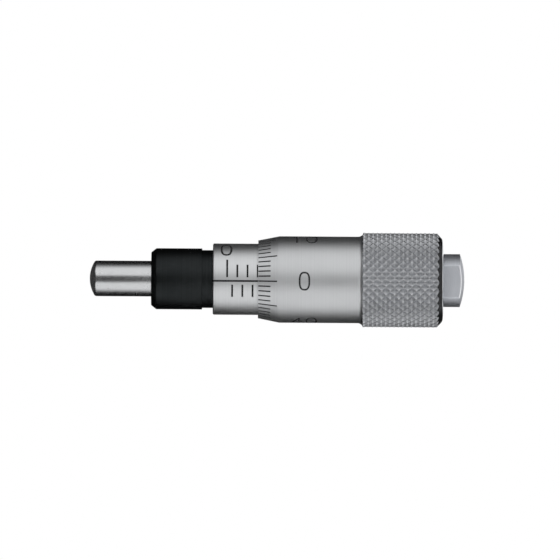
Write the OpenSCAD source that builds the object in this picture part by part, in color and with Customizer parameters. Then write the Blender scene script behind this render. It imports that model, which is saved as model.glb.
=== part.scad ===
// Plain-stem micrometer head: a spindle with a ball end, a black clamping stem, a graduated sleeve,
// and a knurled thimble that a cap screw clamps on the spindle's taper.
// The spindle axis lies along X, with the tip towards -X and the thimble towards +X.
// The index line faces -Y, and +Z is up. The origin is the centre of the shoulder, which is the
// sleeve's front face. All sizes are in millimetres.

/* [Scale] */
// Travel from the zero reading to the last graduation
travel = 6.5; // [5:0.5:6.5]
// Reading at which the head is drawn
reading = 3; // [1:0.5:5]
// Distance from the shoulder to the zero line
zero_offset = 1.41; // [1.2:0.01:1.8]
// How far the thimble's edge stands past the line that it reads
edge_lead = 0.04; // [0:0.01:0.1]
// Divisions around the thimble
divisions = 50; // [25:25:50]
// Depth of every engraved line
line_depth = 0.04; // [0.02:0.01:0.06]
// Width of the sleeve's cross lines
cross_line_w = 0.18; // [0.1:0.01:0.2]
// Width of the index line and of the thimble's lines
fine_line_w = 0.15; // [0.08:0.01:0.18]
// Length of a short line on the thimble
short_line = 1.22; // [0.8:0.02:1.4]
// Length of every fifth line on the thimble
long_line = 1.86; // [1.5:0.02:2]
// Angle from the index line to where the sleeve's cross lines start
line_start = 6.2; // [4:0.1:8]
// Angle from the index line to where the sleeve's cross lines stop
line_stop = 26.7; // [20:0.1:30]
// Angle from the index line to where every fifth cross line stops
long_line_stop = 36.2; // [32:0.1:40]
// Distance from the end of the index line to the rear end of the sleeve
index_setback = 0.3; // [0.2:0.05:0.6]

/* [Spindle] */
// Spindle diameter
spindle_d = 3.5; // [3.3:0.1:3.7]
// Length of spindle that stands out of the stem at the drawn reading
spindle_reach = 6.1; // [5:0.1:8]
// Radius of the ball end
tip_radius = 3.2; // [2.6:0.1:5]
// Rise of the screw over the spindle's radius
screw_rise = 0.3; // [0.25:0.05:0.4]
// Length of the neck between the screw and the taper
neck_len = 0.8; // [0.5:0.1:1]
// Rise of the neck and of the taper's thick end over the spindle's radius
taper_rise = 0.2; // [0.1:0.05:0.2]
// Fall of the taper's radius for each millimetre of length
taper_fall = 0.1; // [0.05:0.01:0.12]
// Distance from the spindle's rear end to the cap
spindle_setback = 0.37; // [0.2:0.01:0.5]

/* [Stem] */
// Diameter of the clamping stem
stem_d = 6; // [5.8:0.1:6.2]
// Length from the stem's front face to the shoulder
stem_len = 6; // [5:0.1:8]
// Length of the chamfer at the stem's front
stem_chamfer = 0.5; // [0.3:0.05:0.7]
// Length of the relief groove in front of the shoulder
relief_len = 1.05; // [0.6:0.05:1.4]
// Depth of the relief groove
relief_depth = 0.16; // [0.05:0.01:0.25]
// Length of the relief groove that lies under the sleeve
relief_under_sleeve = 0.15; // [0.1:0.05:0.3]
// Fall of the stem's radius for each millimetre of chamfer
chamfer_fall = 0.8; // [0.5:0.1:1]
// Rise of the sleeve's seat over the stem's radius
seat_step = 0.2; // [0.16:0.01:0.25]
// Length of the collar behind the sleeve
collar_len = 0.4; // [0.3:0.1:0.6]
// Step from the sleeve's surface down to the collar
collar_drop = 0.12; // [0.08:0.01:0.18]
// Step from the stem's radius down to the nut end
nut_end_drop = 0.2; // [0.1:0.05:0.3]
// Length of the nut end's bore
nut_bore_len = 10; // [8:0.5:11]
// Slits in the nut end
slit_count = 3; // [2:1:4]
// Width of a slit
slit_w = 0.35; // [0.2:0.05:0.5]
// Length of a slit
slit_len = 5.5; // [4:0.1:6.5]

/* [Sleeve] */
// Outside diameter of the graduated sleeve
sleeve_d = 7; // [6.8:0.1:7.2]
// Length of the graduated sleeve
sleeve_len = 9.2; // [8.9:0.1:9.6]
// Radius of the round on the sleeve's front edge
sleeve_round = 0.15; // [0.05:0.05:0.2]

/* [Adjusting nut] */
// Length of the adjusting nut
nut_len = 3; // [2:0.1:4]
// Distance from the nut to the stem's rear end
nut_setback = 0.5; // [0.2:0.1:0.8]
// Step from the sleeve's surface down to the nut
nut_drop = 0.15; // [0.1:0.05:0.3]
// Width of the nut's spanner slots
nut_slot_w = 0.8; // [0.5:0.1:1.2]
// Depth of the nut's spanner slots
nut_slot_depth = 0.7; // [0.4:0.1:1]

/* [Thimble] */
// Diameter of the smooth barrel
thimble_d = 8.5; // [8.3:0.1:8.7]
// Diameter of the thin front edge
thimble_edge_d = 7.66; // [7.5:0.02:7.8]
// Length of the graduated bevel
bevel_len = 2.1; // [2:0.05:2.6]
// Length from the front edge to the end of the smooth barrel
barrel_len = 9.75; // [9:0.05:10.5]
// Length from the front edge to the rim of the end face
thimble_len = 18.1; // [17.6:0.1:18.6]
// Diameter of the rim of the end face
end_d = 8; // [7.4:0.1:8.2]
// Rise of the end face from its rim to the cap
end_rise = 0.17; // [0.1:0.01:0.3]
// Thickness of the wall that sits on the spindle's taper
rear_wall = 2.2; // [1.8:0.1:2.6]

/* [Knurl] */
// Diameter over the knurl's ridges
knurl_d = 9.3; // [9.1:0.1:9.5]
// Diamonds around the knurl
knurl_count = 34; // [30:1:38]
// Length of a diamond along the axis
knurl_pitch = 0.85; // [0.7:0.01:1]
// Depth of the diamond pits below the ridges
knurl_depth = 0.22; // [0.1:0.01:0.25]
// Radius of the hollow fillet from the barrel up to the knurl
knurl_fillet = 0.5; // [0.45:0.05:0.8]
// Rise of the blank over the ridges, which the knurl takes away
blank_rise = 0.05; // [0.03:0.01:0.1]

/* [Cap screw] */
// Diameter of the cap
cap_d = 5.2; // [4.9:0.1:5.5]
// Width across the two spanner flats
cap_flats = 4.1; // [3.7:0.1:4.5]
// Length of the cap below its dome
cap_len = 1.55; // [1.2:0.05:1.8]
// Height of the cap's dome
cap_dome = 0.45; // [0.3:0.05:0.6]
// Diameter of the cap's screw shank
cap_shank_d = 2; // [1.8:0.1:2.2]
// Length of the shank past the thimble's rear wall
shank_reach = 1.5; // [1:0.1:2]
// Room past the shank in its hole
shank_room = 0.4; // [0.3:0.1:0.6]

/* [Fits] */
// Radial gap of the spindle in the stem
spindle_gap = 0.03; // [0.02:0.01:0.04]
// Radial gap of the spindle's screw in the stem's nut end
thread_gap = 0.05; // [0.04:0.01:0.08]
// Radial gap of the thimble over the sleeve
thimble_gap = 0.05; // [0.04:0.01:0.07]
// Radial gap of the thimble on the taper and of the cap's shank in the spindle
seat_gap = 0.04; // [0.03:0.01:0.06]
// Radial gap of the sleeve and the adjusting nut on the stem
press_gap = 0.02; // [0.01:0.01:0.03]
// Room left at the end of the travel
end_room = 0.4; // [0.3:0.05:0.6]

/* [Hidden] */
$fn = 96;

// Colours of the pieces
steel_colour = "#b4b8ba";
black_colour = "#1d1f20";
chrome_colour = "#c4c7c8";
cap_colour = "#a2a5ac";

// Places along the axis, from the shoulder
edge_x = zero_offset + reading + edge_lead;
end_x = edge_x + thimble_len;
seat_x = end_x + end_rise;
rear_inner_x = end_x - rear_wall;
stem_end_x = rear_inner_x - reading - end_room;
tip_x = -stem_len - spindle_reach;

// Screw in the stem's nut end, with the cap's hole behind it
screw_r = spindle_d / 2 + screw_rise;
guide_end_x = stem_end_x - nut_bore_len;
screw_start_x = guide_end_x + reading + end_room;
screw_end_x = rear_inner_x - neck_len;
shank_end_x = rear_inner_x - shank_reach;

// Taper that carries the thimble
taper_r = spindle_d / 2 + taper_rise;
spindle_end_x = seat_x - spindle_setback;
function taper_at(x) = taper_r - taper_fall * (x - rear_inner_x);

// Stem under the sleeve and the thimble
guide_r = spindle_d / 2 + spindle_gap;
sleeve_seat_r = stem_d / 2 + seat_step;
collar_r = sleeve_d / 2 - collar_drop;
nut_bore_r = screw_r + thread_gap;
nut_end_r = stem_d / 2 - nut_end_drop;

// Adjusting nut
nut_r = sleeve_d / 2 - nut_drop;

// Direction of the index line, from which the angles of the lines are measured
front = 270;
// Length by which every cut runs past the surface that it opens
cut_over = 0.2;

// Thimble
bore_r = sleeve_d / 2 + thimble_gap;
edge_r = thimble_edge_d / 2;
barrel_r = thimble_d / 2;
bevel_slope = (barrel_r - edge_r) / bevel_len;

// Knurl: the blank stands a little proud of the ridges, and the knurl takes all of that away
ridge_r = knurl_d / 2;
blank_r = ridge_r + blank_rise;
knurl_steps_around = 2 * knurl_count;
knurl_step = knurl_pitch / 2;
knurl_start_x = edge_x + barrel_len;
fillet_steps = 6;
fillet_angle = acos(1 - (blank_r - barrel_r) / knurl_fillet);
fillet_points = [
    for (s = [0 : fillet_steps])
        let (a = fillet_angle * s / fillet_steps)
            [barrel_r + knurl_fillet * (1 - cos(a)), knurl_start_x + knurl_fillet * sin(a)]
];
knurl_steps = ceil((end_x - (ridge_r - end_d / 2) / 2 - knurl_start_x) / knurl_step);
mould_r = blank_r + cut_over;

// Turns a shape drawn along Z to lie along X, with its -Y side still at the front
module along_axis() {
    rotate([0, 90, 0]) children();
}

// Ground spindle with its ball end, screw, taper and tapped hole
module spindle() {
    color(steel_colour) along_axis() rotate_extrude() difference() {
        polygon([
            [0, tip_x],
            [spindle_d / 2, tip_x],
            [spindle_d / 2, screw_start_x],
            [screw_r, screw_start_x],
            [screw_r, screw_end_x],
            [taper_r, screw_end_x],
            [taper_r, rear_inner_x],
            [taper_at(spindle_end_x), spindle_end_x],
            [cap_shank_d / 2 + seat_gap, spindle_end_x],
            [cap_shank_d / 2 + seat_gap, shank_end_x - shank_room],
            [0, shank_end_x - shank_room]
        ]);
        difference() {
            translate([0, tip_x - tip_radius]) square([spindle_d, 1.5 * tip_radius]);
            translate([0, tip_x + tip_radius]) circle(tip_radius);
        }
    }
}

// Blackened stem: clamping length in front, slitted nut end inside the thimble
module stem() {
    color(black_colour) along_axis() difference() {
        rotate_extrude() polygon([
            [guide_r, -stem_len],
            [stem_d / 2 - chamfer_fall * stem_chamfer, -stem_len],
            [stem_d / 2, stem_chamfer - stem_len],
            [stem_d / 2, -relief_len],
            [stem_d / 2 - relief_depth, -relief_len],
            [stem_d / 2 - relief_depth, relief_under_sleeve],
            [sleeve_seat_r, relief_under_sleeve],
            [sleeve_seat_r, sleeve_len],
            [collar_r, sleeve_len],
            [collar_r, sleeve_len + collar_len],
            [nut_end_r, sleeve_len + collar_len],
            [nut_end_r, stem_end_x],
            [nut_bore_r, stem_end_x],
            [nut_bore_r, guide_end_x],
            [guide_r, guide_end_x]
        ]);
        for (k = [0 : slit_count - 1])
            rotate([0, 0, 360 * k / slit_count])
                translate([0, -slit_w / 2, stem_end_x - slit_len])
                    cube([stem_d, slit_w, slit_len + cut_over]);
    }
}

// Groove round the sleeve at distance x, from one angle to another above or below the index line
module sleeve_line(x, from, to) {
    translate([0, 0, x - cross_line_w / 2])
        rotate([0, 0, front + min(from, to)])
            rotate_extrude(angle = abs(to - from))
                translate([sleeve_d / 2 - line_depth, 0])
                    square([line_depth + cut_over, cross_line_w]);
}

// Graduated sleeve: millimetre lines above the index line, half-millimetre lines below it
module graduated_sleeve() {
    color(chrome_colour) along_axis() difference() {
        rotate_extrude() difference() {
            translate([sleeve_seat_r + press_gap, 0])
                square([sleeve_d / 2 - sleeve_seat_r - press_gap, sleeve_len]);
            difference() {
                translate([sleeve_d / 2 - sleeve_round, -cut_over])
                    square([sleeve_round + cut_over, sleeve_round + cut_over]);
                translate([sleeve_d / 2 - sleeve_round, sleeve_round]) circle(sleeve_round);
            }
        }
        for (mm = [0 : floor(travel)])
            sleeve_line(zero_offset + mm, -line_start, mm % 5 == 0 ? -long_line_stop : -line_stop);
        for (half = [0.5 : travel])
            sleeve_line(zero_offset + half, line_start, line_stop);
        translate([-fine_line_w / 2, -sleeve_d / 2 - cut_over, -cut_over])
            cube([fine_line_w, line_depth + cut_over, sleeve_len - index_setback + cut_over]);
    }
}

// Ring nut that closes the slitted nut end on the screw, with two spanner slots
module adjusting_nut() {
    nut_end_x = stem_end_x - nut_setback;
    color(steel_colour) along_axis() difference() {
        translate([0, 0, nut_end_x - nut_len]) cylinder(h = nut_len, r = nut_r);
        translate([0, 0, nut_end_x - nut_len - cut_over])
            cylinder(h = nut_len + 2 * cut_over, r = nut_end_r + press_gap);
        translate([-nut_r - cut_over, -nut_slot_w / 2, nut_end_x - nut_slot_depth])
            cube([2 * (nut_r + cut_over), nut_slot_w, nut_slot_depth + cut_over]);
    }
}

// Ring whose inner wall is the knurl: ridges cross at every other point of a half-pitch grid
module knurl_mould() {
    n = knurl_steps_around;
    function ring_point(r, i, j) =
        [r * cos(360 * i / n), r * sin(360 * i / n), knurl_start_x + j * knurl_step];
    function knurl_r(i, j) = (i + j) % 2 == 0 ? ridge_r : ridge_r - knurl_depth;
    inner_points = [for (j = [0 : knurl_steps], i = [0 : n - 1]) ring_point(knurl_r(i, j), i, j)];
    outer_points = [for (j = [0, knurl_steps], i = [0 : n - 1]) ring_point(mould_r, i, j)];
    function inner(i, j) = j * n + i % n;
    function outer(i, side) = len(inner_points) + side * n + i % n;
    // Each cell is split along the diagonal that joins two ridge points
    function cell(i, j) = (i + j) % 2 == 0
        ? [[inner(i, j), inner(i + 1, j), inner(i + 1, j + 1)],
           [inner(i, j), inner(i + 1, j + 1), inner(i, j + 1)]]
        : [[inner(i, j), inner(i + 1, j), inner(i, j + 1)],
           [inner(i + 1, j), inner(i + 1, j + 1), inner(i, j + 1)]];
    polyhedron(
        points = concat(inner_points, outer_points),
        faces = [
            for (j = [0 : knurl_steps - 1], i = [0 : n - 1]) each cell(i, j),
            for (i = [0 : n - 1]) each [
                [outer(i, 0), outer(i, 1), outer(i + 1, 1), outer(i + 1, 0)],
                [inner(i + 1, 0), inner(i, 0), outer(i, 0), outer(i + 1, 0)],
                [inner(i, knurl_steps), inner(i + 1, knurl_steps), outer(i + 1, 1), outer(i, 1)]
            ]
        ]
    );
}

// Groove along the bevel at division k, from the front edge
module thimble_line(k, length) {
    floor_r = edge_r - line_depth;
    rotate([0, 0, front + 360 * k / divisions])
        rotate([90, 0, 0])
            translate([0, edge_x, -fine_line_w / 2])
                linear_extrude(fine_line_w) polygon([
                    [floor_r - bevel_slope * cut_over, -cut_over],
                    [floor_r + bevel_slope * length, length],
                    [barrel_r + cut_over, length],
                    [barrel_r + cut_over, -cut_over]
                ]);
}

// Thimble: graduated bevel, smooth barrel, diamond knurl and a wall bored for the taper
module thimble() {
    color(chrome_colour) along_axis() difference() {
        rotate_extrude() polygon([
            [bore_r, edge_x],
            [edge_r, edge_x],
            [barrel_r, edge_x + bevel_len],
            each fillet_points,
            [blank_r, end_x - blank_r + end_d / 2],
            [end_d / 2, end_x],
            [cap_d / 2, seat_x],
            [taper_at(seat_x) + seat_gap, seat_x],
            [taper_at(rear_inner_x) + seat_gap, rear_inner_x],
            [bore_r, rear_inner_x]
        ]);
        knurl_mould();
        for (k = [0 : divisions - 1])
            thimble_line(k, k % 5 == 0 ? long_line : short_line);
    }
}

// Domed cap screw with two spanner flats, which clamps the thimble on the spindle's taper
module cap_screw() {
    dome_r = (pow(cap_d / 2, 2) + pow(cap_dome, 2)) / (2 * cap_dome);
    cap_end_x = seat_x + cap_len + cap_dome;
    color(cap_colour) along_axis() {
        intersection() {
            rotate_extrude() intersection() {
                translate([0, seat_x]) square([cap_d / 2, cap_len + cap_dome]);
                translate([0, cap_end_x - dome_r]) circle(dome_r);
            }
            translate([-cap_d, -cap_flats / 2, seat_x - cap_len])
                cube([2 * cap_d, cap_flats, 3 * cap_len]);
        }
        translate([0, 0, shank_end_x])
            cylinder(h = seat_x - shank_end_x + cap_len / 2, d = cap_shank_d);
    }
}

spindle();
stem();
graduated_sleeve();
adjusting_nut();
thimble();
cap_screw();
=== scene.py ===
"""Looks of a plain-stem micrometer head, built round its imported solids.

The spindle axis lies along X with the tip towards -X, the index line faces -Y and +Z is up. Pieces are
shaped in millimetres, as on a bench, and brought to metres when they are finished.
"""

import logging
import math
from collections.abc import Callable, Sequence
from dataclasses import dataclass
from enum import Enum

import bmesh
import bpy
from mathutils import Matrix, Vector


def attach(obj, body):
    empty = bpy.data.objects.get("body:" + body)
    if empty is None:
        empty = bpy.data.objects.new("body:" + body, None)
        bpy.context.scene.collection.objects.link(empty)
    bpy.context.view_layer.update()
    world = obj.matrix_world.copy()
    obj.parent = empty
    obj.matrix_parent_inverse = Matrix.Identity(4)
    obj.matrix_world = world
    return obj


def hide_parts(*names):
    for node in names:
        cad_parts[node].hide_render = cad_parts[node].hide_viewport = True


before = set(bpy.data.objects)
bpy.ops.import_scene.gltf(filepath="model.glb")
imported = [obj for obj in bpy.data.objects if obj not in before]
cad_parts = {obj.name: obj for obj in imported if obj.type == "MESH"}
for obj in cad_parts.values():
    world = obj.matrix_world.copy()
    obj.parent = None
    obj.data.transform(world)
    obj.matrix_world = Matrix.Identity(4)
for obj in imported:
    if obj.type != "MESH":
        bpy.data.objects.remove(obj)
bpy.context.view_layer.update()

LOG = logging.getLogger("micrometer_head")
# One millimetre of the bench in the scene's metres
MM = 0.001
# How far, in millimetres, a point may lie from a ring that it counts as on
NEAR = 0.004
# How far apart, in millimetres, two points may lie that count as one
TOUCH = 1e-4

Ring = tuple[float, float]
Dot = tuple[float, float]
Place = tuple[float, float, float]
Tint = tuple[float, float, float]
Term = float | Tint | bpy.types.NodeSocket
FaceTest = Callable[[bmesh.types.BMFace], bool]


class Body(Enum):
    """Moving bodies of the head."""

    STEM = "stem"
    SPINDLE = "spindle"
    THIMBLE = "thimble"


class Slot(Enum):
    """Names of the record's finishes."""

    GROUND_STEEL = "ground_steel"
    BLACK_STEM = "black_stem"
    SATIN_CHROME = "satin_chrome"
    CAP_STEEL = "cap_steel"


class Element(Enum):
    """Elements of a mesh, with the select mode that picks them."""

    POINT = "VERT"
    EDGE = "EDGE"
    FACE = "FACE"


class Axis(Enum):
    """Axes of the scene, with their place in a vector."""

    ALONG = 0
    BACK = 1
    UP = 2


def lift_angle(point: Vector) -> float:
    """Give the angle of a point above the index line, in degrees.

    Args:
        point: A place on the bench.

    Returns:
        0 at the front, positive towards the top, from -180 to 180.
    """
    return math.degrees(math.atan2(point.z, -point.y))


def axis_radius(point: Vector) -> float:
    """Give the distance of a point from the spindle axis."""
    return math.hypot(point.y, point.z)


def clear_bench() -> None:
    """Leave edit mode and deselect everything."""
    if bpy.context.object is not None and bpy.context.object.mode != "OBJECT":
        bpy.ops.object.mode_set(mode="OBJECT")
    bpy.ops.object.select_all(action="DESELECT")


class Blank:
    """A piece on the bench, shaped with operators in millimetres."""

    def __init__(self, name: str) -> None:
        """Name the piece, which has no mesh until one is made and taken."""
        self.name = name
        self.piece: bpy.types.Object | None = None

    def take(self) -> None:
        """Keep the primitive that was just added and put its place into its mesh."""
        self.piece = bpy.context.object
        self.piece.name = self.name
        self.piece.data.name = self.name
        bpy.ops.object.transform_apply(location=True, rotation=True, scale=True)

    def turn(self, outline: Sequence[Ring], segments: int, closed: bool) -> None:
        """Turn an outline round the axis by extruding a ring from place to place.

        Args:
            outline: Places along the axis with their radii. A radius of 0 closes the end.
            segments: Sides of each ring.
            closed: Whether the outline comes back to its first ring.
        """
        clear_bench()
        along, radius = outline[0]
        bpy.ops.mesh.primitive_circle_add(
            vertices=segments, radius=radius, location=(along, 0, 0), rotation=(0, math.pi / 2, 0)
        )
        self.take()
        bpy.ops.object.mode_set(mode="EDIT")
        bpy.ops.mesh.select_mode(type="EDGE")
        bpy.ops.mesh.select_all(action="SELECT")
        path = list(outline[1:]) + ([outline[0]] if closed else [])
        for next_along, next_radius in path:
            bpy.ops.mesh.extrude_region_move(TRANSFORM_OT_translate={"value": (next_along - along, 0, 0)})
            if next_radius == 0:
                bpy.ops.mesh.merge(type="CENTER")
                break
            scale = next_radius / radius
            bpy.ops.transform.resize(value=(1, scale, scale), center_override=(next_along, 0, 0))
            along, radius = next_along, next_radius
        self.seal()

    def seal(self) -> None:
        """Merge coincident points and turn all faces outwards."""
        bpy.ops.mesh.select_all(action="SELECT")
        bpy.ops.mesh.remove_doubles(threshold=TOUCH)
        bpy.ops.mesh.normals_make_consistent(inside=False)

    def pick(self, kind: Element, test: Callable[..., bool]) -> int:
        """Select the elements of one kind that pass a test, in edit mode.

        Args:
            kind: Points, edges or faces.
            test: Says whether an element is wanted.

        Returns:
            The number of elements picked.
        """
        bpy.ops.mesh.select_mode(type=kind.value)
        bpy.ops.mesh.select_all(action="DESELECT")
        edit = bmesh.from_edit_mesh(self.piece.data)
        pools = {Element.POINT: edit.verts, Element.EDGE: edit.edges, Element.FACE: edit.faces}
        wanted = [element for element in pools[kind] if test(element)]
        for element in wanted:
            element.select_set(True)
        if kind is Element.POINT:
            edit.select_flush(True)
        bmesh.update_edit_mesh(self.piece.data)
        return len(wanted)

    def pick_end(self, along: float) -> int:
        """Select the edges that lie at a place along the axis, in edit mode.

        Args:
            along: Place of the open end.

        Returns:
            The number of edges picked.
        """
        return self.pick(Element.EDGE, lambda edge: all(abs(v.co.x - along) < TOUCH for v in edge.verts))

    def round_rims(self, rims: Sequence[Ring], width: float, steps: int) -> None:
        """Round the circular edges at the given places.

        Args:
            rims: Places along the axis with their radii.
            width: Width of the round.
            steps: Faces across the round.
        """

        def on_ring(vert: bmesh.types.BMVert, along: float, radius: float) -> bool:
            """Say whether a point lies on a ring."""
            return abs(vert.co.x - along) < NEAR and abs(axis_radius(vert.co) - radius) < NEAR

        def on_rim(edge: bmesh.types.BMEdge) -> bool:
            """Say whether both ends of an edge lie on one of the rims."""
            return any(all(on_ring(vert, *rim) for vert in edge.verts) for rim in rims)

        if self.pick(Element.EDGE, on_rim):
            bpy.ops.mesh.bevel(offset=width, segments=steps, affect="EDGES")

    def wear(self, *finishes: bpy.types.Material) -> None:
        """List the piece's finishes. The first one covers it."""
        for finish in finishes:
            self.piece.data.materials.append(finish)

    def coat(self, finish: bpy.types.Material) -> None:
        """Give the picked faces one of the piece's finishes."""
        self.piece.active_material_index = self.piece.data.materials.find(finish.name)
        bpy.ops.object.material_slot_assign()

    def engrave(self, test: FaceTest, shrink: float, ink: bpy.types.Material) -> int:
        """Sink the faces that pass a test towards the axis and ink their floors.

        Args:
            test: Says whether a face is a line's.
            shrink: Share of the radius that the floor keeps.
            ink: Finish of the floors.

        Returns:
            The number of faces sunk.
        """
        count = self.pick(Element.FACE, test)
        bpy.ops.mesh.extrude_region_move(TRANSFORM_OT_translate={"value": (0, 0, 0)})
        bpy.ops.transform.resize(value=(1, shrink, shrink), center_override=(0, 0, 0))
        self.coat(ink)
        return count

    def cut(self, cutter: "Blank") -> None:
        """Take another piece's shape out of this one.

        Args:
            cutter: The piece to take out, which is used up.
        """
        clear_bench()
        bpy.context.view_layer.objects.active = self.piece
        self.piece.select_set(True)
        tool = self.piece.modifiers.new("cut", "BOOLEAN")
        tool.operation = "DIFFERENCE"
        tool.solver = "MANIFOLD"
        tool.object = cutter.piece
        bpy.ops.object.modifier_apply(modifier=tool.name)
        spent = cutter.piece.data
        bpy.data.objects.remove(cutter.piece)
        bpy.data.meshes.remove(spent)

    def clear_slivers(self, shortest: float = 0.002) -> None:
        """Close up edges that are shorter than a length, which a cut can leave.

        Args:
            shortest: The shortest edge that stays, in millimetres.
        """
        bpy.ops.object.mode_set(mode="EDIT")
        bpy.ops.mesh.select_all(action="SELECT")
        bpy.ops.mesh.dissolve_degenerate(threshold=shortest)
        bpy.ops.object.mode_set(mode="OBJECT")

    def finish(self, smooth_below: float) -> bpy.types.Object:
        """Bring the piece to metres and shade it.

        Args:
            smooth_below: Faces that meet at less than this angle, in degrees, are shaded as one.

        Returns:
            The finished object, at the origin, with its place in its mesh.
        """
        clear_bench()
        bpy.context.view_layer.objects.active = self.piece
        self.piece.select_set(True)
        self.piece.scale = (MM, MM, MM)
        bpy.ops.object.transform_apply(location=True, rotation=True, scale=True)
        bpy.ops.object.shade_smooth_by_angle(angle=math.radians(smooth_below))
        clear_bench()
        return self.piece


class NodeTools:
    """Short ways to add nodes to one tree."""

    # Places of the two colour inputs and of the colour output on a Mix node
    MIX_LOW = 6
    MIX_HIGH = 7
    MIX_OUT = 2

    def __init__(self, tree: bpy.types.NodeTree) -> None:
        """Work on one node tree."""
        self.tree = tree

    def add(self, kind: str, **settings: object) -> bpy.types.Node:
        """Add a node and set its properties.

        Args:
            kind: Blender's name of the node type.
            settings: Properties of the node.

        Returns:
            The new node.
        """
        node = self.tree.nodes.new(kind)
        for key, value in settings.items():
            setattr(node, key, value)
        return node

    def join(self, source: bpy.types.NodeSocket, target: bpy.types.NodeSocket) -> None:
        """Link an output to an input."""
        self.tree.links.new(source, target)

    def feed(self, term: Term, target: bpy.types.NodeSocket) -> None:
        """Link an output to an input, or set the input to a number or a colour.

        Args:
            term: The output, number or colour.
            target: The input.
        """
        if isinstance(term, bpy.types.NodeSocket):
            self.join(term, target)
        elif isinstance(term, tuple):
            target.default_value = (*term, 1)
        else:
            target.default_value = term

    def calc(self, operation: str, *terms: Term) -> bpy.types.NodeSocket:
        """Add a Math node.

        Args:
            operation: Blender's name of the operation.
            terms: Numbers or outputs, in order.

        Returns:
            The node's output.
        """
        node = self.add("ShaderNodeMath", operation=operation)
        for term, target in zip(terms, node.inputs):
            self.feed(term, target)
        return node.outputs[0]

    def weigh(self, first: Term, share: float, second: Term) -> bpy.types.NodeSocket:
        """Add up two values by weight.

        Args:
            first: Number or output.
            share: Weight of the first one.
            second: Number or output that has the rest of the weight.

        Returns:
            The sum.
        """
        return self.calc("ADD", self.calc("MULTIPLY", first, share), self.calc("MULTIPLY", second, 1 - share))

    def span(self, value: Term, low: Term, high: Term, out_low: Term, out_high: Term) -> bpy.types.NodeSocket:
        """Add a Map Range node with soft ends.

        Args:
            value: The output to map.
            low: Number or output that maps to out_low.
            high: Number or output that maps to out_high.
            out_low: Number or output at the low end.
            out_high: Number or output at the high end.

        Returns:
            The node's output.
        """
        node = self.add("ShaderNodeMapRange", interpolation_type="SMOOTHSTEP")
        for term, target in zip((value, low, high, out_low, out_high), node.inputs):
            self.feed(term, target)
        return node.outputs[0]

    def blend(self, mask: bpy.types.NodeSocket, low: Term, high: Term) -> bpy.types.NodeSocket:
        """Mix two colours by a mask.

        Args:
            mask: 0 for the low colour, 1 for the high one.
            low: Colour or output.
            high: Colour or output.

        Returns:
            The mixed colour.
        """
        mix = self.add("ShaderNodeMix", data_type="RGBA")
        self.join(mask, mix.inputs["Factor"])
        self.feed(low, mix.inputs[self.MIX_LOW])
        self.feed(high, mix.inputs[self.MIX_HIGH])
        return mix.outputs[self.MIX_OUT]

    def split_place(self) -> bpy.types.NodeOutputs:
        """Add nodes that split the Object coordinates, and give the three outputs."""
        coords = self.add("ShaderNodeTexCoord")
        split = self.add("ShaderNodeSeparateXYZ")
        self.join(coords.outputs["Object"], split.inputs[0])
        return split.outputs

    def noise(self, scale: Term, detail: float) -> bpy.types.NodeSocket:
        """Add a Noise node on Object coordinates.

        Args:
            scale: Number or output.
            detail: Number of finer layers.

        Returns:
            The noise's value.
        """
        coords = self.add("ShaderNodeTexCoord")
        noise = self.add("ShaderNodeTexNoise")
        self.join(coords.outputs["Object"], noise.inputs["Vector"])
        self.feed(scale, noise.inputs["Scale"])
        self.feed(detail, noise.inputs["Detail"])
        return noise.outputs["Fac"]


def new_group(name: str, takes: dict[str, float], gives: Sequence[str]) -> bpy.types.ShaderNodeTree:
    """Make an empty shader group with named number sockets.

    Args:
        name: Name of the group.
        takes: Inputs with their usual values.
        gives: Outputs.

    Returns:
        The group, with its input and output nodes.
    """
    group = bpy.data.node_groups.new(name, "ShaderNodeTree")
    for label, usual in takes.items():
        socket = group.interface.new_socket(label, in_out="INPUT", socket_type="NodeSocketFloat")
        socket.default_value = usual
    for label in gives:
        group.interface.new_socket(label, in_out="OUTPUT", socket_type="NodeSocketFloat")
    group.nodes.new("NodeGroupInput")
    group.nodes.new("NodeGroupOutput")
    return group


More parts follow.
